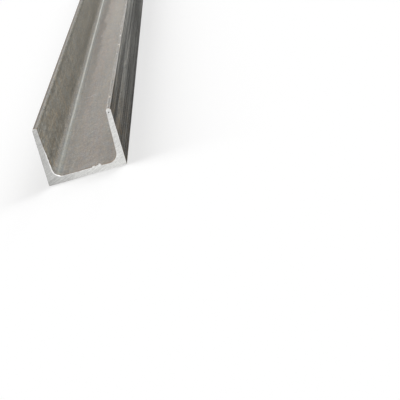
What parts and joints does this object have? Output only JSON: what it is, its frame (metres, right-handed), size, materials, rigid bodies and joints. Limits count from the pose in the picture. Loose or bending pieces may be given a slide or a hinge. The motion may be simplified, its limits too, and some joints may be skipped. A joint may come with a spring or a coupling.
{
  "type": "stainless steel channel",
  "caption": "Hot-rolled stainless steel U channel: flat web, two tapered flanges with rounded tips, filleted roots and square sawn ends.",
  "frame": {"origin": "centre of the web's outer face, at half the bar's length", "axes": "+X across the web, +Y along the bar, +Z from the web towards the flange tips"},
  "size_m": [0.05, 1, 0.037],
  "materials": {
    "pickled_stainless": "hot rolled, annealed and pickled: dull grey with a faint grain along the bar, and bright saw-cut ends"
  },
  "bodies": {
    "root": {"channel": "pickled_stainless"}
  },
  "joints": []
}
